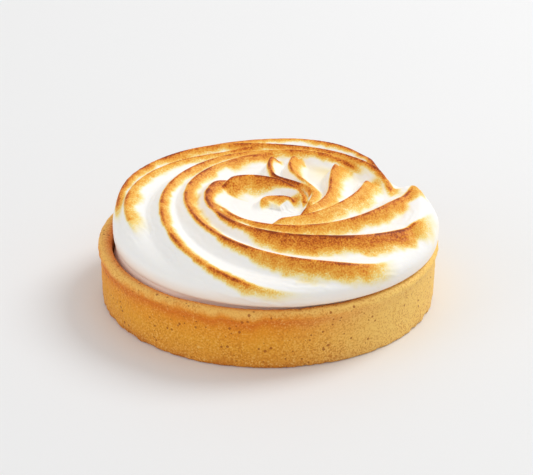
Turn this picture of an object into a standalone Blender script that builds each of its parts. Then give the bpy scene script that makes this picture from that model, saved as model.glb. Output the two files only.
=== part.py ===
"""An individual lemon meringue tart, modelled in metres with +Z up.

The origin is the centre of the flat underside. A straight-sided shortcrust shell holds a mound
of meringue that is piped in one turning swirl: folds start low on the side, run clockwise as seen
from above, climb the shoulder and close in on the middle.
"""

import math
from collections import namedtuple

import bmesh
import bpy
import numpy as np

MM = 0.001
NAME = "lemon_meringue_tart"
GAP = 0.3 * MM          # kept between the two pieces
TURN_STEPS = 96         # facets round the tart

# Pastry shell, baked in a plain ring
SHELL_RADIUS = 52.5 * MM
SHELL_HEIGHT = 18.5 * MM
RIM_WIDTH = 4.4 * MM
RIM_INNER_ROUND = 1.5 * MM
LIP_HEIGHT = 2.6 * MM   # the pressed band under the rim
LIP_PROUD = 0.7 * MM    # how far that band stands out from the wall
WALL_TAPER = 0.3 * MM
FLOOR_THICKNESS = 3.0 * MM
EDGE_ROUND = 0.8 * MM
ROUND_STEPS = 3

# Meringue mound: a pillow that leans over the rim on one side
MOUND_RADIUS = 50.0 * MM
MOUND_CENTRE = (2.4 * MM, -0.1 * MM)
MOUND_TOP = 30.0 * MM
BULGE_HEIGHT = 22.5 * MM
FOOT_RADIUS = 49.3 * MM
FRONT_TURN = math.radians(-85)
FRONT_POWER = 3.2       # the shoulder slopes at the front
SIDE_POWER = 7.0        # and is squarer everywhere else
CROWN_DIP = 1.5 * MM
CROWN_DIP_RADIUS = 16.0 * MM
SLOPE_STEP = 0.3 * MM   # over which the mound's slope is taken
FILL_LEVEL = 13.0 * MM  # where the meringue meets the shell's inner wall
DOME_RINGS = 30
FOOT_RINGS = 2

# The piped folds. Flattened out round the middle, a crest starts at `turn` degrees (anticlockwise
# from +X) and `outer` mm of reach, sweeps clockwise through `sweep` degrees and falls in to `inner`
# mm: mostly within the share `fall` of its sweep, more suddenly with a higher `power`. It stands
# `height` mm high near its start and `end` mm near its end, and takes the share `lead` of its sweep
# to rise. `lean` degrees lets it run straight in before it sweeps, and `flare` mm turns its end out
# again. `inside` and `outside` are how wide its two flanks are, in mm.
Fold = namedtuple(
    "Fold", "turn sweep outer inner fall power height end lean flare lead inside outside",
    defaults=(0, 0, 0.2, 7, 5))
FOLDS = {
    "back_outer": Fold(turn=95, sweep=72, outer=48.5, inner=35, fall=0.7, power=3, height=3.4, end=3.6,
                       inside=4.5, outside=3.5),
    "back_middle": Fold(turn=165, sweep=140, outer=49, inner=34, fall=0.86, power=5, height=4, end=3.8,
                        inside=4.5, outside=3.5),
    "back_inner": Fold(turn=190, sweep=184, outer=48.5, inner=34, fall=0.43, power=3.5, height=4, end=4.8,
                       flare=2, inside=5, outside=4),
    "left": Fold(turn=210, sweep=120, outer=45.5, inner=36, fall=0.68, power=5, height=2.6, end=2.6,
                 lead=0.3, inside=5, outside=3.5),
    "left_front": Fold(turn=285, sweep=252, outer=51.5, inner=32.5, fall=0.27, power=2, height=2.8,
                       end=3.8, inside=6),
    "front": Fold(turn=319, sweep=239, outer=48, inner=26, fall=0.3, power=1.8, height=3.8, end=3,
                  flare=6.5, lead=0.14, inside=6),
    "right_front": Fold(turn=360, sweep=230, outer=48.5, inner=20.5, fall=0.32, power=1.4, height=4.4,
                        end=3.2, lead=0.3),
    "right_shoulder": Fold(turn=20, sweep=46, outer=42.5, inner=44.5, fall=0.5, power=2, height=4.2,
                           end=2.4, lead=0.25, inside=8, outside=6.5),
    "right": Fold(turn=22, sweep=193, outer=46.5, inner=18, fall=0.33, power=1.1, height=4.2, end=3),
    "petal_front": Fold(turn=27, sweep=125, outer=31.5, inner=16, fall=0.37, power=1.25, height=4.6,
                        end=3.6, flare=2, lead=0.12, inside=4, outside=6.5),
    "petal_right": Fold(turn=50, sweep=112, outer=33.5, inner=13, fall=0.28, power=0.9, height=5,
                        end=3.8, lean=25, lead=0.12, inside=3.5, outside=6),
    "petal_back": Fold(turn=72, sweep=112, outer=30.5, inner=11.5, fall=0.26, power=1.5, height=4.8,
                       end=3.8, lean=60, lead=0.12, inside=3, outside=5),
    "petal_left": Fold(turn=84, sweep=80, outer=28.5, inner=10.8, fall=0.24, power=1.9, height=4.8,
                       end=3.8, lean=60, lead=0.12, inside=2.5, outside=4),
    "crescent": Fold(turn=162, sweep=180, outer=18.5, inner=7, fall=0.38, power=1.8, height=4.6, end=3.8,
                     flare=2, lead=0.12, inside=5.5, outside=3.5),
    "middle": Fold(turn=230, sweep=254, outer=5.2, inner=0.8, fall=0.35, power=2, height=3, end=3,
                   flare=6, inside=7, outside=3),
}
# The notch where the last fold laid down meets the first
NOTCH_TURN = math.radians(35)
NOTCH_WIDTH = math.radians(13)
NOTCH_DEPTH = 5.0 * MM
NOTCH_REACH = (38.0 * MM, 45.0 * MM, 51.0 * MM, 57.0 * MM)   # where it starts, is full and ends

CREST_ROUND = 0.10       # rounding of a crest, as a share of its width
FLANK_POWER = 1.5        # above 1 the flanks are hollow and the crest is a ridge
MERGE_POWER = 4          # how sharply folds that meet stay apart
CREST_STEPS = 48         # straight pieces along a crest
TAIL = 0.12              # share of a fold's sweep over which its end dies away


def clear_scene():
    for thing in list(bpy.data.objects):
        bpy.data.objects.remove(thing)


def material(name, colour, roughness):
    made = bpy.data.materials.new(name)
    made.use_nodes = True
    shader = made.node_tree.nodes["Principled BSDF"]
    shader.inputs["Base Color"].default_value = (*colour, 1.0)
    shader.inputs["Roughness"].default_value = roughness
    shader.inputs["Metallic"].default_value = 0.0
    return made


def rounded_corner(centre_x, centre_z, radius, start, end):
    """Points on a corner's arc, from start to end in degrees."""
    angles = np.radians(np.linspace(start, end, ROUND_STEPS + 1))
    return [(centre_x + radius * math.cos(a), centre_z + radius * math.sin(a)) for a in angles]


def turned(name, profile, collection):
    """A solid of revolution: the profile runs from the axis, down the outer side, back to the axis."""
    mesh = bpy.data.meshes.new(name)
    edges = [(i, i + 1) for i in range(len(profile) - 1)]
    mesh.from_pydata([(x, 0.0, z) for x, z in profile], edges, [])
    thing = bpy.data.objects.new(name, mesh)
    collection.objects.link(thing)
    screw = thing.modifiers.new("Turn", "SCREW")
    screw.steps = TURN_STEPS
    screw.render_steps = TURN_STEPS
    screw.use_merge_vertices = True
    screw.merge_threshold = 0.01 * MM
    screw.use_smooth_shade = True
    return thing


def shell_profile():
    """From the middle of the floor's top, up the inner wall, over the rim and down the outer wall."""
    inner = SHELL_RADIUS - RIM_WIDTH
    wall = SHELL_RADIUS - LIP_PROUD
    base = wall - WALL_TAPER
    lip_bottom = SHELL_HEIGHT - LIP_HEIGHT
    small = EDGE_ROUND / 2
    points = [(0.0, FLOOR_THICKNESS), (inner - EDGE_ROUND, FLOOR_THICKNESS)]
    points.append((inner, FLOOR_THICKNESS + EDGE_ROUND))
    points += rounded_corner(inner + RIM_INNER_ROUND, SHELL_HEIGHT - RIM_INNER_ROUND,
                             RIM_INNER_ROUND, 180, 90)
    points += rounded_corner(SHELL_RADIUS - EDGE_ROUND, SHELL_HEIGHT - EDGE_ROUND, EDGE_ROUND, 90, 0)
    points += [(SHELL_RADIUS, lip_bottom + small), (wall, lip_bottom - small)]
    points += rounded_corner(base - EDGE_ROUND, EDGE_ROUND, EDGE_ROUND, 0, -90)
    points.append((0.0, 0.0))
    return points


def smooth_step(value, low, high):
    share = np.clip((value - low) / (high - low), 0.0, 1.0)
    return share * share * (3 - 2 * share)


def mound_outline(count=400):
    """The plain mound's outline at the front: reach along it, radius and height, top to foot."""
    t = np.linspace(0.0, math.pi / 2, count)
    radius = MOUND_RADIUS * np.sin(t) ** (2 / FRONT_POWER)
    height = BULGE_HEIGHT + (MOUND_TOP - BULGE_HEIGHT) * np.cos(t)
    foot = SHELL_HEIGHT + GAP + 0.4 * MM
    under = np.linspace(0.0, math.pi / 2, count // 4)[1:]
    radius = np.append(radius, FOOT_RADIUS + (MOUND_RADIUS - FOOT_RADIUS) * np.cos(under))
    height = np.append(height, BULGE_HEIGHT - (BULGE_HEIGHT - foot) * np.sin(under))
    steps = np.hypot(np.diff(radius), np.diff(height))
    return np.append(0.0, np.cumsum(steps)), radius, height


def plain_mound(turn, reach):
    """Radius and height of the mound without its folds. Its shoulder is squarer off the front."""
    steps, radius, height = mound_outline()
    out = np.interp(reach, steps, radius)
    up = np.interp(reach, steps, height)
    front = smooth_step(np.cos(turn - FRONT_TURN), 0.1, 0.9)
    power = SIDE_POWER + (FRONT_POWER - SIDE_POWER) * front
    share = (1 - (out / MOUND_RADIUS).clip(0.0, 1.0) ** power) ** 0.5
    above = reach < steps[np.argmax(radius)]
    up = np.where(above, BULGE_HEIGHT + (MOUND_TOP - BULGE_HEIGHT) * share, up)
    return out, up - CROWN_DIP * np.exp(-((out / CROWN_DIP_RADIUS) ** 2))


def fold_crest(fold):
    """A fold's crest, flattened out round the middle: rows of x, y and height."""
    share = np.linspace(0.0, 1.0, CREST_STEPS + 1)
    lean = fold.lean * np.sin(math.pi * share) * (1 - share)
    turn = np.radians(fold.turn - fold.sweep * share + lean)
    fall = np.exp(-((share / fold.fall) ** fold.power))
    reach = fold.inner + (fold.outer - fold.inner) * fall + fold.flare * share ** 4
    ease = smooth_step(share, -0.1 * fold.lead, fold.lead) * smooth_step(1 - share, -0.3 * TAIL, TAIL)
    rise = (fold.height + (fold.end - fold.height) * share) * ease
    return np.stack([reach * np.cos(turn), reach * np.sin(turn), rise], 1) * MM


def fold_height(place, fold):
    """How high one fold stands at each place of the flattened mound."""
    crest = fold_crest(fold)
    best = np.full(len(place), np.inf)
    found = np.zeros(len(place))
    for start, end in zip(crest, crest[1:]):
        along = end[:2] - start[:2]
        offset = place - start[:2]
        share = (offset @ along / (along @ along)).clip(0.0, 1.0)
        away = offset - share[:, None] * along
        distance = np.hypot(away[:, 0], away[:, 1])
        outer = along[0] * away[:, 1] - along[1] * away[:, 0] > 0
        width = np.where(outer, fold.outside, fold.inside) * MM
        ratio = np.hypot(distance / width, CREST_ROUND) - CREST_ROUND
        rise = (start[2] + share * (end[2] - start[2])) * (1 - ratio).clip(0.0) ** FLANK_POWER
        nearer = distance < best
        best = np.where(nearer, distance, best)
        found = np.where(nearer, rise, found)
    return found


def notch(turn, reach):
    """How deep the notch is at each place."""
    start, full, fade, end = NOTCH_REACH
    apart = np.angle(np.exp(1j * (turn - NOTCH_TURN)))
    along = smooth_step(reach, start, full) * (1 - smooth_step(reach, fade, end))
    return NOTCH_DEPTH * np.exp(-((apart / NOTCH_WIDTH) ** 2)) * along


def mound_points(turn, reach):
    """Places on the finished meringue, from turn (radians) and reach over the plain mound."""
    place = np.stack([reach * np.cos(turn), reach * np.sin(turn)], 1)
    total = sum(fold_height(place, fold) ** MERGE_POWER for fold in FOLDS.values())
    lift = total ** (1 / MERGE_POWER) - notch(turn, reach)
    out, up = plain_mound(turn, reach)
    out_before, up_before = plain_mound(turn, reach - SLOPE_STEP)
    out_after, up_after = plain_mound(turn, reach + SLOPE_STEP)
    run = out_after - out_before
    drop = up_before - up_after
    size = np.hypot(run, drop)
    out = out + lift * drop / size
    up = up + lift * run / size
    x = MOUND_CENTRE[0] + out * np.cos(turn)
    y = MOUND_CENTRE[1] + out * np.sin(turn)
    return np.stack([x, y, up], 1)


def make_meringue(collection):
    """One solid: the swirled mound, its foot inside the rim, and the plug that fills the shell."""
    steps, radius, height = mound_outline()
    bulge = steps[np.argmax(radius)]
    reach = np.linspace(0.0, bulge, DOME_RINGS)
    reach = np.append(reach, np.linspace(bulge, steps[-1], FOOT_RINGS + 1)[1:])
    inside = SHELL_RADIUS - RIM_WIDTH - GAP
    floor = FLOOR_THICKNESS + GAP
    foot = height[-1]
    profile = list(zip(np.interp(reach, steps, radius), np.interp(reach, steps, height)))
    profile += [(inside, foot - 0.4 * MM), (inside, foot - 2.7 * MM), (inside, FILL_LEVEL)]
    profile += [(inside, floor + EDGE_ROUND), (inside - EDGE_ROUND, floor), (0.0, floor)]
    plain = turned("meringue_plain", profile, collection)
    bpy.context.view_layer.update()
    graph = bpy.context.evaluated_depsgraph_get()
    mesh = bpy.data.meshes.new_from_object(plain.evaluated_get(graph))
    bpy.data.objects.remove(plain)
    mesh.name = "meringue"

    places = np.zeros(len(mesh.vertices) * 3)
    mesh.vertices.foreach_get("co", places)
    places = places.reshape(-1, 3)
    turn = np.arctan2(places[:, 1], places[:, 0])
    across = np.hypot(places[:, 0], places[:, 1])
    dome = places[:, 2] > foot - 0.01 * MM
    nearest = np.argmin(np.hypot(across[:, None] - radius, places[:, 2][:, None] - height), axis=1)
    places[dome] = mound_points(turn[dome], steps[nearest[dome]])

    tuck = ~dome & (places[:, 2] > FILL_LEVEL + 0.01 * MM)
    foot_place = mound_points(turn[tuck], np.full(tuck.sum(), steps[-1]))[:, :2]
    distance = np.hypot(foot_place[:, 0], foot_place[:, 1])
    places[tuck, :2] = foot_place * (distance.clip(None, inside) / distance)[:, None]
    mesh.vertices.foreach_set("co", places.ravel())
    mesh.update()

    work = bmesh.new()
    work.from_mesh(mesh)
    bmesh.ops.recalc_face_normals(work, faces=work.faces)
    work.to_mesh(mesh)
    work.free()
    mesh.shade_smooth()
    meringue = bpy.data.objects.new("meringue", mesh)
    collection.objects.link(meringue)
    return meringue


def main():
    clear_scene()
    collection = bpy.data.collections.new(NAME)
    bpy.context.scene.collection.children.link(collection)

    shell = turned("pastry_shell", shell_profile(), collection)
    shell.data.materials.append(material("baked_shortcrust", (0.60, 0.28, 0.07), 0.75))

    meringue = make_meringue(collection)
    meringue.data.materials.append(material("toasted_meringue", (0.92, 0.88, 0.82), 0.5))


main()
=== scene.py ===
"""The looks of an individual lemon meringue tart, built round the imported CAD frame.

Two pieces replace the two CAD solids: the shortcrust shell and the torched meringue swirl. The
swirl's folds and the shell's outline are the CAD model's, at a much finer mesh.
"""

import math
from collections import namedtuple

import bpy
import numpy as np
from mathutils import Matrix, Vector, noise


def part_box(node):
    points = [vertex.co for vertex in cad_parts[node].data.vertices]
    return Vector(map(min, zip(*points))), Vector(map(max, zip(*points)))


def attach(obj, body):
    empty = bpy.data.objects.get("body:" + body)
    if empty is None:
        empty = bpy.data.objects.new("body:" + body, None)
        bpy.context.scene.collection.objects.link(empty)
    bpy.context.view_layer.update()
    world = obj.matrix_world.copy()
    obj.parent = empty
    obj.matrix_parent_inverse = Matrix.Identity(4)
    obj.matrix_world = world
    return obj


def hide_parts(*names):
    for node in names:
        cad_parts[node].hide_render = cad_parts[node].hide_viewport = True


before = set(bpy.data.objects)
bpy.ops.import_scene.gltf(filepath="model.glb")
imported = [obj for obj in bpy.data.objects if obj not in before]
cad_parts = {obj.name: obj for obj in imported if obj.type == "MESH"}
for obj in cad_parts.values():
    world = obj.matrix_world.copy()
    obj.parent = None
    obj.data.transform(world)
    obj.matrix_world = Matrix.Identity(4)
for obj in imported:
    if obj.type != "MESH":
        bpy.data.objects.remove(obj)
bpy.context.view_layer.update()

MM = 0.001
TAU = 2 * math.pi
SHELL = "pastry_shell"
MERINGUE = "meringue"

# Pastry shell. Its outer size is the CAD node's.
SHELL_LOW, SHELL_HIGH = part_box(SHELL)
SHELL_RADIUS = SHELL_HIGH.x
SHELL_HEIGHT = SHELL_HIGH.z
RIM_WIDTH = 4.4 * MM
RIM_INNER_ROUND = 1.5 * MM   # the rim rolls softly into the shell
LIP_HEIGHT = 2.6 * MM
LIP_PROUD = 0.7 * MM
WALL_TAPER = 0.3 * MM
FLOOR_THICKNESS = 3.0 * MM
EDGE_ROUND = 0.8 * MM
GAP = 0.3 * MM
SHELL_TURNS = 720
SHELL_STEP = 0.45 * MM   # spacing of the points down the shell's outline
RIM_ROUND = 1.5 * MM     # the rim's worn outer edge
LIP_SLOPE = 1.0 * MM     # half the height over which the lip dies into the wall
WALL_WAVE = 0.25 * MM    # the hand-lined wall's slow unevenness
CRUMB_DEPTH = 0.15 * MM  # and its crumb
CHIP_DEPTH = 0.9 * MM    # how deep the lower edge is broken away
CHIP_HEIGHT = 2.2 * MM
PIT_SPACING = 1.8 * MM   # between the fine pits of the crumb
WAVE_SIZE = 14 * MM      # sizes of these three kinds of unevenness
CRUMB_SIZE = 1.6 * MM
CHIP_SIZE = 3.0 * MM
OUTSIDE_BAND = (2.4 * MM, 1.4 * MM)   # depths from the outside between which it takes hold
TOP_BAND = 2.5 * MM      # height over which the rim's top takes its own unevenness
RIM_WAVE = 0.2 * MM

# Meringue mound
MOUND_RADIUS = 50.0 * MM
MOUND_CENTRE = (2.4 * MM, -0.1 * MM)
MOUND_TOP = 30.0 * MM
BULGE_HEIGHT = 22.5 * MM
FOOT_RADIUS = 49.3 * MM
FRONT_TURN = math.radians(-85)
FRONT_POWER = 3.2        # the shoulder slopes at the front
SIDE_POWER = 7.0         # and is squarer everywhere else
FRONT_BLEND = (0.1, 0.9)   # cosines from the front between which it changes
CROWN_DIP = 1.5 * MM
CROWN_DIP_RADIUS = 16.0 * MM
FOOT_RISE = 0.4 * MM     # the foot's lower edge over the gap above the rim
TUCK_DROPS = (0.4 * MM, 1.5 * MM, 2.7 * MM)   # drops at which the foot is tucked inside the rim
FILL_LEVEL = 13.0 * MM   # where the meringue meets the shell's inner wall
OUTLINE_POINTS = 400     # points down the outline that reach is measured on
MOUND_TURNS = 620
MOUND_RINGS = 150

# The piped folds, as in the CAD model. Flattened out round the middle, a crest starts at `turn`
# degrees (anticlockwise from +X) and `outer` mm of reach, sweeps clockwise through `sweep` degrees
# and falls in to `inner` mm: mostly within the share `fall` of its sweep, more suddenly with a
# higher `power`. It stands `height` mm high near its start and `end` mm near its end, and takes the
# share `lead` of its sweep to rise. `lean` degrees lets it run straight in before it sweeps, and
# `flare` mm turns its end out again. `inside` and `outside` are how wide its two flanks are, in mm.
Fold = namedtuple(
    "Fold", "turn sweep outer inner fall power height end lean flare lead inside outside",
    defaults=(0, 0, 0.2, 7, 5))
FOLDS = {
    "back_outer": Fold(turn=95, sweep=72, outer=48.5, inner=35, fall=0.7, power=3, height=3.4, end=3.6,
                       inside=4.5, outside=3.5),
    "back_middle": Fold(turn=165, sweep=140, outer=49, inner=34, fall=0.86, power=5, height=4, end=3.8,
                        inside=4.5, outside=3.5),
    "back_inner": Fold(turn=190, sweep=184, outer=48.5, inner=34, fall=0.43, power=3.5, height=4, end=4.8,
                       flare=2, inside=5, outside=4),
    "left": Fold(turn=210, sweep=120, outer=45.5, inner=36, fall=0.68, power=5, height=2.6, end=2.6,
                 lead=0.3, inside=5, outside=3.5),
    "left_front": Fold(turn=285, sweep=252, outer=51.5, inner=32.5, fall=0.27, power=2, height=2.8,
                       end=3.8, inside=6),
    "front": Fold(turn=319, sweep=239, outer=48, inner=26, fall=0.3, power=1.8, height=3.8, end=3,
                  flare=6.5, lead=0.14, inside=6),
    "right_front": Fold(turn=360, sweep=230, outer=48.5, inner=20.5, fall=0.32, power=1.4, height=4.4,
                        end=3.2, lead=0.3),
    "right_shoulder": Fold(turn=20, sweep=46, outer=42.5, inner=44.5, fall=0.5, power=2, height=4.2,
                           end=2.4, lead=0.25, inside=8, outside=6.5),
    "right": Fold(turn=22, sweep=193, outer=46.5, inner=18, fall=0.33, power=1.1, height=4.2, end=3),
    "petal_front": Fold(turn=27, sweep=125, outer=31.5, inner=16, fall=0.37, power=1.25, height=4.6,
                        end=3.6, flare=2, lead=0.12, inside=4, outside=6.5),
    "petal_right": Fold(turn=50, sweep=112, outer=33.5, inner=13, fall=0.28, power=0.9, height=5,
                        end=3.8, lean=25, lead=0.12, inside=3.5, outside=6),
    "petal_back": Fold(turn=72, sweep=112, outer=30.5, inner=11.5, fall=0.26, power=1.5, height=4.8,
                       end=3.8, lean=60, lead=0.12, inside=3, outside=5),
    "petal_left": Fold(turn=84, sweep=80, outer=28.5, inner=10.8, fall=0.24, power=1.9, height=4.8,
                       end=3.8, lean=60, lead=0.12, inside=2.5, outside=4),
    "crescent": Fold(turn=162, sweep=180, outer=18.5, inner=7, fall=0.38, power=1.8, height=4.6, end=3.8,
                     flare=2, lead=0.12, inside=5.5, outside=3.5),
    "middle": Fold(turn=230, sweep=254, outer=5.2, inner=0.8, fall=0.35, power=2, height=3, end=3,
                   flare=6, inside=7, outside=3),
}
# The notch where the last fold laid down meets the first
NOTCH_TURN = math.radians(35)
NOTCH_WIDTH = math.radians(13)
NOTCH_DEPTH = 5.0 * MM
NOTCH_REACH = (38.0 * MM, 45.0 * MM, 51.0 * MM, 57.0 * MM)   # where it starts, is full and ends

# How strongly a fold is toasted, how far in mm its toast spreads on the torch's side near its start
# and its end, and how far on the other side
TOAST = {
    "back_outer": (1.0, 1.6, 2.4, 1.3),
    "back_middle": (1.0, 1.8, 2.6, 1.2),
    "back_inner": (1.05, 1.8, 3.6, 1.5),
    "left": (0.8, 4.5, 1.8, 0.9),
    "left_front": (0.9, 2.6, 3.2, 0.9),
    "front": (1.0, 5.5, 2.8, 0.9),
    "right_front": (1.2, 6.5, 2.8, 0.8),
    "right_shoulder": (0.0, 1.0, 1.0, 1.0),
    "right": (1.0, 4.5, 3.0, 0.8),
    "petal_front": (0.85, 6.0, 3.5, 0.7),
    "petal_right": (0.9, 5.0, 2.8, 0.7),
    "petal_back": (0.9, 4.5, 2.2, 0.7),
    "petal_left": (1.1, 1.6, 1.6, 0.9),
    "crescent": (1.05, 7.5, 1.8, 0.7),
    "middle": (0.95, 4.5, 4.5, 0.9),
}
CREST_ROUND = 0.10       # rounding of a crest, as a share of its width
FLANK_POWER = 1.5        # above 1 the flanks are hollow and the crest is a ridge
MERGE_POWER = 4          # how sharply folds that meet stay apart
CREST_STEPS = 48         # straight pieces along a crest
TAIL = 0.12              # share of a fold's sweep over which its end dies away
BLUNT_START = 0.1        # above 0 a fold starts or ends with a step, as a share of that stretch
BLUNT_END = 0.3
FLARE_POWER = 4          # how late the flare comes
SLOPE_STEP = 0.3 * MM    # over which the mound's slope is taken
RIPPLE_DEPTH = 0.13 * MM   # faint ripples that the piping left beside each crest
RIPPLE_WIDTH = 1.9 * MM
RIPPLE_CLEAR = 2.2 * MM    # how far from the crest they are full
RIPPLE_WANDER = 5          # how far they shift along the fold, in radians
TORCH_TURN = math.radians(-35)   # the side the torch browned most
TOAST_BODY = 0.62                # brownness of the even toast, against the line along the crest
CREST_LINE = 0.55 * MM           # width of that darker line
TOAST_WANDER = 7.0 * MM          # size of the places where toast reaches further or less far
TOAST_UNEVEN = 0.45              # and how much further or less far
LINE_BREAKS = 1.3                # how strongly the darker line comes and goes
LINE_LEVEL = 0.6                 # its usual strength
LINE_LEAST = 0.1                 # and its least
FACING_RANGE = (-0.5, 0.6)       # cosines from the torch's side between which toast spreads further
BODY_RANGE = (0.25, 1.2)         # shares of its reach between which even toast fades
SEARCH_SHARE = 1.6               # a fold is looked for within this share of its toast's spread
SEARCH_MARGIN = 3 * MM           # and this much more
TOAST_FULL_HEIGHT = 2.2 * MM     # folds this high are fully toasted
VALLEY_TURN = math.radians(52)   # where a yellow glow is painted between the petals: painted light of the lemon filling, shining through and bounced in the deep valleys
VALLEY_REACH = 33.0 * MM
VALLEY_SPREAD = 8.5 * MM
VALLEY_DEPTH = 1.6               # folds higher than this, in mm, hide it

# Camera: the photo's viewing angle, about 0.74 m away
AIM = Vector((-0.5 * MM, 0.0, 18.0 * MM))
VIEW_ELEVATION = math.radians(25.5)
VIEW_DISTANCE = 0.74
LENS_MM = 162.2
SENSOR_MM = 36.0


def linear(red, green, blue):
    """A colour given as 0-255 sRGB, in Blender's linear values."""
    values = []
    for value in (red, green, blue):
        share = value / 255
        values.append(share / 12.92 if share <= 0.04045 else ((share + 0.055) / 1.055) ** 2.4)
    return (*values, 1.0)


# ---------------------------------------------------------------- shapes

def grid_mesh(name, rings):
    """A closed mesh from rings of points, given as an array (ring, turn, 3). The first and last
    rings are each one point on the axis."""
    turns = rings.shape[1]
    inner = rings[1:-1].reshape(-1, 3)
    points = np.vstack([rings[0, :1], inner, rings[-1, :1]])
    last = len(points) - 1
    here = np.arange(turns)
    after = (here + 1) % turns
    faces = [(0, 1 + int(a), 1 + int(b)) for a, b in zip(here, after)]
    for ring in range(rings.shape[0] - 3):
        top = 1 + ring * turns
        low = top + turns
        faces += np.stack([top + here, low + here, low + after, top + after], 1).tolist()
    low = last - turns
    faces += [(low + int(a), last, low + int(b)) for a, b in zip(here, after)]
    mesh = bpy.data.meshes.new(name)
    mesh.from_pydata(points.tolist(), [], faces)
    mesh.update()
    mesh.shade_smooth()
    thing = bpy.data.objects.new(name, mesh)
    bpy.context.scene.collection.objects.link(thing)
    return thing


def add_attribute(thing, name, rings):
    """Stores one number for each point of a grid mesh."""
    values = np.concatenate([rings[0, :1], rings[1:-1].ravel(), rings[-1, :1]])
    layer = thing.data.attributes.new(name, "FLOAT", "POINT")
    layer.data.foreach_set("value", values.astype(np.float32))


def smooth_step(value, low, high):
    share = np.clip((value - low) / (high - low), 0.0, 1.0)
    return share * share * (3 - 2 * share)


def noise_field(points, size, octaves=3):
    """Fractal noise about zero at each point, with features of the given size."""
    scaled = points.reshape(-1, 3) / size
    values = [noise.fractal(Vector(p), 1.0, 2.0, octaves) for p in scaled]
    return np.array(values).reshape(points.shape[:-1])


# ---------------------------------------------------------------- meringue

def mound_outline():
    """The plain mound's outline at the front: reach along it, radius and height, top to foot."""
    t = np.linspace(0.0, math.pi / 2, OUTLINE_POINTS)
    radius = MOUND_RADIUS * np.sin(t) ** (2 / FRONT_POWER)
    height = BULGE_HEIGHT + (MOUND_TOP - BULGE_HEIGHT) * np.cos(t)
    foot = SHELL_HEIGHT + GAP + FOOT_RISE
    under = np.linspace(0.0, math.pi / 2, OUTLINE_POINTS // 4)[1:]
    radius = np.append(radius, FOOT_RADIUS + (MOUND_RADIUS - FOOT_RADIUS) * np.cos(under))
    height = np.append(height, BULGE_HEIGHT - (BULGE_HEIGHT - foot) * np.sin(under))
    steps = np.hypot(np.diff(radius), np.diff(height))
    return np.append(0.0, np.cumsum(steps)), radius, height


def plain_mound(turn, reach):
    """Radius and height of the mound without its folds. Its shoulder is squarer off the front."""
    steps, radius, height = mound_outline()
    out = np.interp(reach, steps, radius)
    up = np.interp(reach, steps, height)
    front = smooth_step(np.cos(turn - FRONT_TURN), *FRONT_BLEND)
    power = SIDE_POWER + (FRONT_POWER - SIDE_POWER) * front
    share = (1 - (out / MOUND_RADIUS).clip(0.0, 1.0) ** power) ** 0.5
    above = reach < steps[np.argmax(radius)]
    up = np.where(above, BULGE_HEIGHT + (MOUND_TOP - BULGE_HEIGHT) * share, up)
    return out, up - CROWN_DIP * np.exp(-((out / CROWN_DIP_RADIUS) ** 2))


def fold_crest(fold):
    """A fold's crest, flattened out round the middle: rows of x, y and height."""
    share = np.linspace(0.0, 1.0, CREST_STEPS + 1)
    lean = fold.lean * np.sin(math.pi * share) * (1 - share)
    turn = np.radians(fold.turn - fold.sweep * share + lean)
    fall = np.exp(-((share / fold.fall) ** fold.power))
    reach = fold.inner + (fold.outer - fold.inner) * fall + fold.flare * share ** FLARE_POWER
    ease = smooth_step(share, -BLUNT_START * fold.lead, fold.lead)
    ease = ease * smooth_step(1 - share, -BLUNT_END * TAIL, TAIL)
    rise = (fold.height + (fold.end - fold.height) * share) * ease
    return np.stack([reach * np.cos(turn), reach * np.sin(turn), rise], 1) * MM


def one_fold(place, uneven, fold, strength, start_spread, end_spread, back_spread):
    """One fold's height and toast at each place of the flattened mound."""
    crest = fold_crest(fold)
    torch = np.array([math.cos(TORCH_TURN), math.sin(TORCH_TURN)])
    widest = max(fold.inside, fold.outside, SEARCH_SHARE * start_spread, SEARCH_SHARE * end_spread)
    limit = widest * MM + SEARCH_MARGIN
    best = np.full(len(place), np.inf)
    height = np.zeros(len(place))
    toast = np.zeros(len(place))
    for step, (start, end) in enumerate(zip(crest, crest[1:])):
        along = end[:2] - start[:2]
        length = np.hypot(*along)
        near = np.flatnonzero(((place - (start[:2] + end[:2]) / 2) ** 2).sum(1) < limit ** 2)
        offset = place[near] - start[:2]
        share = (offset @ along / length ** 2).clip(0.0, 1.0)
        away = offset - share[:, None] * along
        distance = np.hypot(away[:, 0], away[:, 1])
        closer = distance < best[near]
        near, share, away, distance = near[closer], share[closer], away[closer], distance[closer]
        outer = along[0] * away[:, 1] - along[1] * away[:, 0] > 0
        crest_height = start[2] + share * (end[2] - start[2])
        width = np.where(outer, fold.outside, fold.inside) * MM
        ratio = np.hypot(distance / width, CREST_ROUND) - CREST_ROUND
        side = np.array([-along[1], along[0]]) / length
        facing = smooth_step(np.where(outer, side @ torch, -(side @ torch)), *FACING_RANGE)
        spread = start_spread + (end_spread - start_spread) * (step + share) / CREST_STEPS
        spread = (back_spread + (spread - back_spread) * facing) * MM
        reach = spread * (1 + TOAST_UNEVEN * uneven[near])
        body = 1 - smooth_step(distance, BODY_RANGE[0] * reach, BODY_RANGE[1] * reach)
        line_strength = (LINE_LEVEL + LINE_BREAKS * uneven[near]).clip(LINE_LEAST, 1.0)
        line = np.exp(-(distance / CREST_LINE) ** 2) * line_strength
        full = smooth_step(crest_height, 0.0, TOAST_FULL_HEIGHT)
        best[near] = distance
        flank = (1 - ratio).clip(0.0)
        ripple = np.sin(TAU * distance / RIPPLE_WIDTH + RIPPLE_WANDER * uneven[near]) * (0.5 + uneven[near])
        ripple *= RIPPLE_DEPTH * smooth_step(distance, 0.0, RIPPLE_CLEAR) * smooth_step(flank, 0.0, 0.3)
        height[near] = (crest_height * flank ** FLANK_POWER + ripple).clip(0.0)
        toast[near] = strength * full * (TOAST_BODY * body + (1 - TOAST_BODY) * line)
    return height, toast


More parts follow.
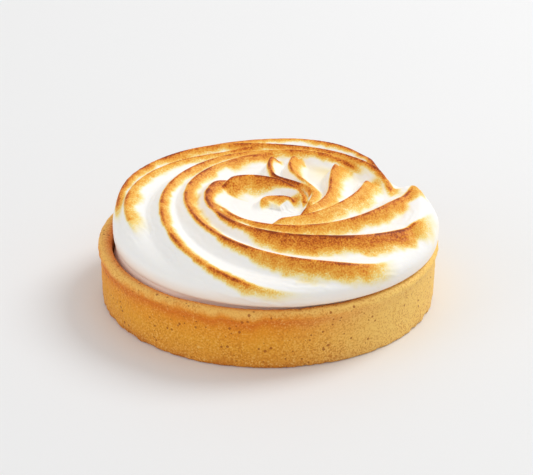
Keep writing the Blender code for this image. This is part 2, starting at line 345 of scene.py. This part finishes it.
def notch(turn, reach):
    """How deep the notch is at each place."""
    start, full, fade, end = NOTCH_REACH
    apart = np.angle(np.exp(1j * (turn - NOTCH_TURN)))
    along = smooth_step(reach, start, full) * (1 - smooth_step(reach, fade, end))
    return NOTCH_DEPTH * np.exp(-((apart / NOTCH_WIDTH) ** 2)) * along


def mound_surface(turn, reach):
    """Places on the finished meringue, with the folds' height and toast there."""
    place = np.stack([reach * np.cos(turn), reach * np.sin(turn)], -1).reshape(-1, 2)
    uneven = noise_field(np.column_stack([place, np.zeros(len(place))]), TOAST_WANDER)
    lift = np.zeros(len(place))
    toast = np.zeros(len(place))
    for name, fold in FOLDS.items():
        fold_lift, fold_toast = one_fold(place, uneven, fold, *TOAST[name])
        lift += fold_lift ** MERGE_POWER
        toast = np.maximum(toast, fold_toast)
    lift = (lift ** (1 / MERGE_POWER)).reshape(turn.shape) - notch(turn, reach)
    out, up = plain_mound(turn, reach)
    out_before, up_before = plain_mound(turn, reach - SLOPE_STEP)
    out_after, up_after = plain_mound(turn, reach + SLOPE_STEP)
    run, fall = out_after - out_before, up_before - up_after
    size = np.hypot(run, fall)
    out = out + lift * fall / size
    up = up + lift * run / size
    points = np.stack([MOUND_CENTRE[0] + out * np.cos(turn),
                       MOUND_CENTRE[1] + out * np.sin(turn), up], -1)
    return points, lift, toast.reshape(turn.shape)


def make_meringue():
    steps = mound_outline()[0]
    reach = np.linspace(0.0, steps[-1], MOUND_RINGS)
    turn = np.arange(MOUND_TURNS) * TAU / MOUND_TURNS
    turn_grid, reach_grid = np.meshgrid(turn, reach)
    dome, lift, toast = mound_surface(turn_grid, reach_grid)

    inside = SHELL_RADIUS - RIM_WIDTH - GAP
    floor = FLOOR_THICKNESS + GAP
    foot = dome[-1]
    distance = np.hypot(foot[:, 0], foot[:, 1])
    tucked = foot[:, :2] * (distance.clip(None, inside) / distance)[:, None]
    circle = np.stack([np.cos(turn), np.sin(turn)], 1)
    rings = list(dome)
    for drop in TUCK_DROPS:
        rings.append(np.column_stack([tucked, np.full(MOUND_TURNS, foot[0, 2] - drop)]))
    for across, level in ((inside, FILL_LEVEL), (inside, floor + EDGE_ROUND),
                          (inside - EDGE_ROUND, floor), (0.0, floor)):
        rings.append(np.column_stack([circle * across, np.full(MOUND_TURNS, level)]))
    rings = np.array(rings)
    piece = grid_mesh("meringue_swirl", rings)
    plain = np.zeros((len(rings) - len(dome), MOUND_TURNS))
    add_attribute(piece, "toast", np.vstack([toast, plain]))
    # Painted glow: a yellow tint in the deep valleys between the petals, standing in for the lemon
    # filling's light shining through and bounced there
    apart = np.hypot(reach_grid * np.cos(turn_grid) - VALLEY_REACH * math.cos(VALLEY_TURN),
                     reach_grid * np.sin(turn_grid) - VALLEY_REACH * math.sin(VALLEY_TURN))
    deep = 1 - smooth_step(lift / MM, 0.3, VALLEY_DEPTH)
    add_attribute(piece, "painted_lemon_glow", np.vstack([deep * np.exp(-(apart / VALLEY_SPREAD) ** 2), plain]))
    return piece


# ---------------------------------------------------------------- shell

def arc(centre_x, centre_z, radius, start, end, count=6):
    angles = np.radians(np.linspace(start, end, count + 1))
    return [(centre_x + radius * math.cos(a), centre_z + radius * math.sin(a)) for a in angles]


def shell_outline():
    """From the middle of the floor's top, up the inner wall, over the rim and down the outside."""
    inner = SHELL_RADIUS - RIM_WIDTH
    wall = SHELL_RADIUS - LIP_PROUD
    base = wall - WALL_TAPER
    lip = SHELL_HEIGHT - LIP_HEIGHT
    corners = [(0.0, FLOOR_THICKNESS), (inner - EDGE_ROUND, FLOOR_THICKNESS)]
    corners += [(inner, FLOOR_THICKNESS + EDGE_ROUND)]
    corners += arc(inner + RIM_INNER_ROUND, SHELL_HEIGHT - RIM_INNER_ROUND, RIM_INNER_ROUND, 180, 90)
    corners += arc(SHELL_RADIUS - RIM_ROUND, SHELL_HEIGHT - RIM_ROUND, RIM_ROUND, 90, 0)
    for share in np.linspace(0.0, 1.0, 7):
        corners.append((SHELL_RADIUS + (wall - SHELL_RADIUS) * float(smooth_step(share, 0.0, 1.0)),
                        lip + LIP_SLOPE - 2 * LIP_SLOPE * share))
    corners += arc(base - EDGE_ROUND, EDGE_ROUND, EDGE_ROUND, 0, -90)
    corners += [(0.0, 0.0)]
    points = [corners[0]]
    for start, end in zip(corners, corners[1:]):
        gap = math.dist(start, end)
        flat_floor = start[1] == end[1] and min(start[0], end[0]) < 1 * MM
        pieces = 4 if flat_floor else max(1, round(gap / SHELL_STEP))
        for step in range(1, pieces + 1):
            share = step / pieces
            points.append((start[0] + share * (end[0] - start[0]),
                           start[1] + share * (end[1] - start[1])))
    return np.array(points)


def make_shell():
    outline = shell_outline()
    turn = np.arange(SHELL_TURNS) * TAU / SHELL_TURNS
    circle = np.stack([np.cos(turn), np.sin(turn)], 1)
    rings = np.zeros((len(outline), SHELL_TURNS, 3))
    rings[:, :, :2] = outline[:, 0][:, None, None] * circle
    rings[:, :, 2] = outline[:, 1][:, None]

    across = outline[:, 0][:, None]
    up = outline[:, 1][:, None]
    outside = smooth_step(across, SHELL_RADIUS - OUTSIDE_BAND[0], SHELL_RADIUS - OUTSIDE_BAND[1])
    wave = noise_field(rings * (1, 1, 0.4), WAVE_SIZE, 2)
    crumb = noise_field(rings, CRUMB_SIZE, 2)
    chips = (noise_field(rings * (1, 1, 0.3) + 0.5, CHIP_SIZE, 3) + 0.1).clip(0.0)
    lower = 1 - smooth_step(up, 0.0, CHIP_HEIGHT)
    inward = WALL_WAVE * (wave + 0.4) + CRUMB_DEPTH * (crumb + 0.5) + CHIP_DEPTH * chips * lower
    rings[:, :, :2] -= (outside * inward)[:, :, None] * circle
    top = smooth_step(up, SHELL_HEIGHT - TOP_BAND, SHELL_HEIGHT)
    rings[:, :, 2] -= top * (RIM_WAVE * (wave + 0.5) + 0.8 * CRUMB_DEPTH * (crumb + 0.5))

    piece = grid_mesh("shortcrust_shell", rings)
    # Painted shade: the inside of the shell and the inner part of the rim, in the gap under the meringue's
    # bulge, get a darker orange
    inner_shade_share = smooth_step(SHELL_RADIUS - across, 0.25 * RIM_WIDTH, 0.95 * RIM_WIDTH)
    inner_shade_share = inner_shade_share * (up > FLOOR_THICKNESS / 2)
    add_attribute(piece, "painted_inner_shade", np.repeat(inner_shade_share, SHELL_TURNS, axis=1))
    return piece


# ---------------------------------------------------------------- materials

def new_material(name):
    made = bpy.data.materials.new(name)
    made.use_nodes = True
    return made, made.node_tree, made.node_tree.nodes["Principled BSDF"]


def add_node(tree, kind, **settings):
    node = tree.nodes.new(kind)
    for key, value in settings.items():
        setattr(node, key, value)
    return node


def join(tree, source, target):
    tree.links.new(source, target)


def colour_ramp(tree, stops):
    ramp = tree.nodes.new("ShaderNodeValToRGB")
    elements = ramp.color_ramp.elements
    while len(elements) < len(stops):
        elements.new(1.0)
    for element, (place, colour) in zip(elements, stops):
        element.position = place
        element.color = linear(*colour)
    return ramp


def noise_node(tree, size, detail=3.0):
    """Noise over the object, with features of the given size in metres."""
    where = tree.nodes.new("ShaderNodeTexCoord")
    made = tree.nodes.new("ShaderNodeTexNoise")
    made.inputs["Scale"].default_value = 1 / size
    made.inputs["Detail"].default_value = detail
    join(tree, where.outputs["Object"], made.inputs["Vector"])
    return made.outputs["Fac"]


def maths(tree, operation, first, second, clamp=False):
    made = add_node(tree, "ShaderNodeMath", operation=operation, use_clamp=clamp)
    for socket, value in zip(made.inputs, (first, second)):
        if isinstance(value, (int, float)):
            socket.default_value = value
        else:
            join(tree, value, socket)
    return made.outputs[0]


def mix_colour(tree, share, first, second):
    made = add_node(tree, "ShaderNodeMix", data_type="RGBA")
    if isinstance(share, (int, float)):
        made.inputs["Factor"].default_value = share
    else:
        join(tree, share, made.inputs["Factor"])
    for socket, value in ((made.inputs["A"], first), (made.inputs["B"], second)):
        if isinstance(value, tuple):
            socket.default_value = linear(*value)
        else:
            join(tree, value, socket)
    return made.outputs["Result"]


def ramp_value(tree, value, low, high):
    """Maps low..high of a value smoothly to 0..1."""
    made = add_node(tree, "ShaderNodeMapRange", interpolation_type="SMOOTHSTEP")
    made.inputs["From Min"].default_value = low
    made.inputs["From Max"].default_value = high
    join(tree, value, made.inputs["Value"])
    return made.outputs["Result"]


def add_bump(tree, shader, height, strength, depth):
    bump = tree.nodes.new("ShaderNodeBump")
    bump.inputs["Strength"].default_value = strength
    bump.inputs["Distance"].default_value = depth
    join(tree, height, bump.inputs["Height"])
    join(tree, bump.outputs["Normal"], shader.inputs["Normal"])


def meringue_material():
    made, tree, shader = new_material("torched_meringue")
    toast = add_node(tree, "ShaderNodeAttribute", attribute_name="toast").outputs["Fac"]
    speckle = maths(tree, "SUBTRACT", noise_node(tree, 0.5 * MM, 2.0), 0.5)
    patches = maths(tree, "SUBTRACT", noise_node(tree, 3.0 * MM, 3.0), 0.5)
    uneven = maths(tree, "ADD", maths(tree, "MULTIPLY", speckle, 0.85),
                   maths(tree, "MULTIPLY", patches, 0.5))
    reached = ramp_value(tree, toast, 0.02, 0.45)
    browned = maths(tree, "ADD", toast, maths(tree, "MULTIPLY", uneven, reached), clamp=True)
    ramp = colour_ramp(tree, (
        (0.00, (253, 251, 247)), (0.10, (254, 244, 214)), (0.24, (253, 224, 140)),
        (0.42, (247, 190, 82)), (0.62, (236, 156, 52)), (0.80, (206, 106, 28)),
        (1.00, (140, 56, 14))))
    join(tree, browned, ramp.inputs[0])
    where = tree.nodes.new("ShaderNodeTexCoord")
    axes = tree.nodes.new("ShaderNodeSeparateXYZ")
    join(tree, where.outputs["Object"], axes.inputs[0])
    # Painted reflection: low on the mound, where it is untoasted, the meringue is tinted warm cream,
    # standing in for orange light bounced up from the shell
    low = ramp_value(tree, axes.outputs["Z"], 25 * MM, 18 * MM)
    white = maths(tree, "SUBTRACT", 1.0, reached)
    crust_bounce_tint = maths(tree, "MULTIPLY", maths(tree, "MULTIPLY", low, white), 0.55)
    colour = mix_colour(tree, crust_bounce_tint, ramp.outputs["Color"], (252, 232, 214))
    # Painted glow of the lemon filling's light, on untoasted meringue in the deep valleys
    painted_lemon_glow = add_node(tree, "ShaderNodeAttribute", attribute_name="painted_lemon_glow").outputs["Fac"]
    lemon_glow_share = maths(tree, "MULTIPLY", maths(tree, "MULTIPLY", painted_lemon_glow, white), 0.8)
    colour = mix_colour(tree, lemon_glow_share, colour, (252, 224, 120))
    join(tree, colour, shader.inputs["Base Color"])
    grain = maths(tree, "MULTIPLY", noise_node(tree, 0.4 * MM, 2.0), reached)
    relief = maths(tree, "ADD", grain, maths(tree, "MULTIPLY", noise_node(tree, 5.0 * MM, 2.0), 2.0))
    add_bump(tree, shader, relief, 0.4, 0.25 * MM)
    rough = maths(tree, "ADD", maths(tree, "MULTIPLY", patches, 0.3), 0.5)
    join(tree, rough, shader.inputs["Roughness"])
    shader.inputs["Specular IOR Level"].default_value = 0.18
    shader.inputs["Subsurface Weight"].default_value = 0.15
    shader.inputs["Subsurface Radius"].default_value = (1.0, 0.9, 0.75)
    shader.inputs["Subsurface Scale"].default_value = 2.0 * MM
    return made


def pastry_material():
    made, tree, shader = new_material("baked_shortcrust")
    where = tree.nodes.new("ShaderNodeTexCoord")
    axes = tree.nodes.new("ShaderNodeSeparateXYZ")
    join(tree, where.outputs["Object"], axes.inputs[0])
    clouds = maths(tree, "SUBTRACT", noise_node(tree, 6.0 * MM, 3.0), 0.5)
    level = maths(tree, "ADD", maths(tree, "DIVIDE", axes.outputs["Z"], SHELL_HEIGHT),
                  maths(tree, "MULTIPLY", clouds, 0.22), clamp=True)
    ramp = colour_ramp(tree, (
        (0.00, (200, 118, 34)), (0.12, (232, 158, 50)), (0.40, (240, 166, 46)),
        (0.66, (238, 152, 32)), (0.80, (224, 120, 18)), (0.88, (238, 146, 36)),
        (0.97, (250, 190, 94))))
    join(tree, level, ramp.inputs[0])
    # Paler towards +X, the side the key lamp lights: partly a lighter bake, partly painted sheen and light
    # on that side
    pale_bake_and_sheen = maths(tree, "MULTIPLY", ramp_value(tree, axes.outputs["X"], 0.0, 0.8 * SHELL_RADIUS), 0.9)
    colour = mix_colour(tree, pale_bake_and_sheen, ramp.outputs["Color"], (254, 212, 116))
    # Painted shade in the gap under the meringue: a darker orange inside the shell
    inner = add_node(tree, "ShaderNodeAttribute", attribute_name="painted_inner_shade").outputs["Fac"]
    colour = mix_colour(tree, inner, colour, (228, 126, 44))
    grain = noise_node(tree, 0.55 * MM, 4.0)
    low = ramp_value(tree, axes.outputs["Z"], 10 * MM, 1 * MM)
    cloudy = ramp_value(tree, noise_node(tree, 9 * MM, 2.0), 0.3, 0.7)
    sandy = maths(tree, "ADD", maths(tree, "MULTIPLY", low, 0.2), maths(tree, "MULTIPLY", cloudy, 0.3))
    sandy = maths(tree, "ADD", sandy, 0.26)
    dark = maths(tree, "MULTIPLY", ramp_value(tree, grain, 0.54, 0.34), sandy)
    colour = mix_colour(tree, dark, colour, (190, 106, 28))
    light = maths(tree, "MULTIPLY", ramp_value(tree, grain, 0.52, 0.70), sandy)
    colour = mix_colour(tree, light, colour, (253, 210, 124))
    cells = tree.nodes.new("ShaderNodeTexVoronoi")
    cells.inputs["Scale"].default_value = 1 / PIT_SPACING
    join(tree, where.outputs["Object"], cells.inputs["Vector"])
    pit_size = maths(tree, "MULTIPLY", ramp_value(tree, noise_node(tree, 5 * MM, 2.0), 0.4, 0.65), 0.26)
    pits = maths(tree, "GREATER_THAN", pit_size, cells.outputs["Distance"])
    # Painted shade: the pits, sunk by the bump below, are also painted dark brown in their hollows
    colour = mix_colour(tree, maths(tree, "MULTIPLY", pits, 0.75), colour, (160, 78, 16))
    join(tree, colour, shader.inputs["Base Color"])
    shader.inputs["Roughness"].default_value = 0.6
    shader.inputs["Specular IOR Level"].default_value = 0.25
    relief = maths(tree, "SUBTRACT", grain, maths(tree, "MULTIPLY", pits, 0.8))
    add_bump(tree, shader, relief, 0.5, 0.2 * MM)
    return made


# ---------------------------------------------------------------- stage

def make_floor():
    mesh = bpy.data.meshes.new("floor")
    size = 3.0
    mesh.from_pydata([(-size, -size, 0), (size, -size, 0), (size, size, 0), (-size, size, 0)],
                     [], [(0, 1, 2, 3)])
    floor = bpy.data.objects.new("floor", mesh)
    bpy.context.scene.collection.objects.link(floor)
    made, _, shader = new_material("pale_floor")
    shader.inputs["Base Color"].default_value = linear(236, 236, 236)
    shader.inputs["Roughness"].default_value = 0.6
    mesh.materials.append(made)


def area_lamp(name, place, size, power):
    lamp = bpy.data.lights.new(name, "AREA")
    lamp.shape = "DISK"
    lamp.size = size
    lamp.energy = power
    thing = bpy.data.objects.new(name, lamp)
    thing.location = place
    thing.rotation_euler = (AIM - Vector(place)).to_track_quat("-Z", "Y").to_euler()
    bpy.context.scene.collection.objects.link(thing)


def make_light():
    world = bpy.data.worlds.new("studio")
    world.use_nodes = True
    world.node_tree.nodes["Background"].inputs["Color"].default_value = (1.0, 1.0, 1.0, 1.0)
    world.node_tree.nodes["Background"].inputs["Strength"].default_value = 0.68
    bpy.context.scene.world = world
    area_lamp("key", (0.75, 0.55, 1.0), 0.6, 8.5)
    area_lamp("fill", (-0.9, -0.5, 0.45), 0.8, 1.4)


def make_camera():
    camera = bpy.data.cameras.new("camera")
    camera.lens = LENS_MM
    camera.sensor_width = SENSOR_MM
    thing = bpy.data.objects.new("camera", camera)
    back = Vector((0.0, -math.cos(VIEW_ELEVATION), math.sin(VIEW_ELEVATION)))
    thing.location = AIM + VIEW_DISTANCE * back
    thing.rotation_euler = (math.pi / 2 - VIEW_ELEVATION, 0.0, 0.0)
    bpy.context.scene.collection.objects.link(thing)
    bpy.context.scene.camera = thing


meringue = make_meringue()
meringue.data.materials.append(meringue_material())
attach(meringue, "root")
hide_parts(MERINGUE)

shell = make_shell()
shell.data.materials.append(pastry_material())
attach(shell, "root")
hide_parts(SHELL)

make_floor()
make_light()
make_camera()
bpy.context.scene.view_settings.view_transform = "Standard"
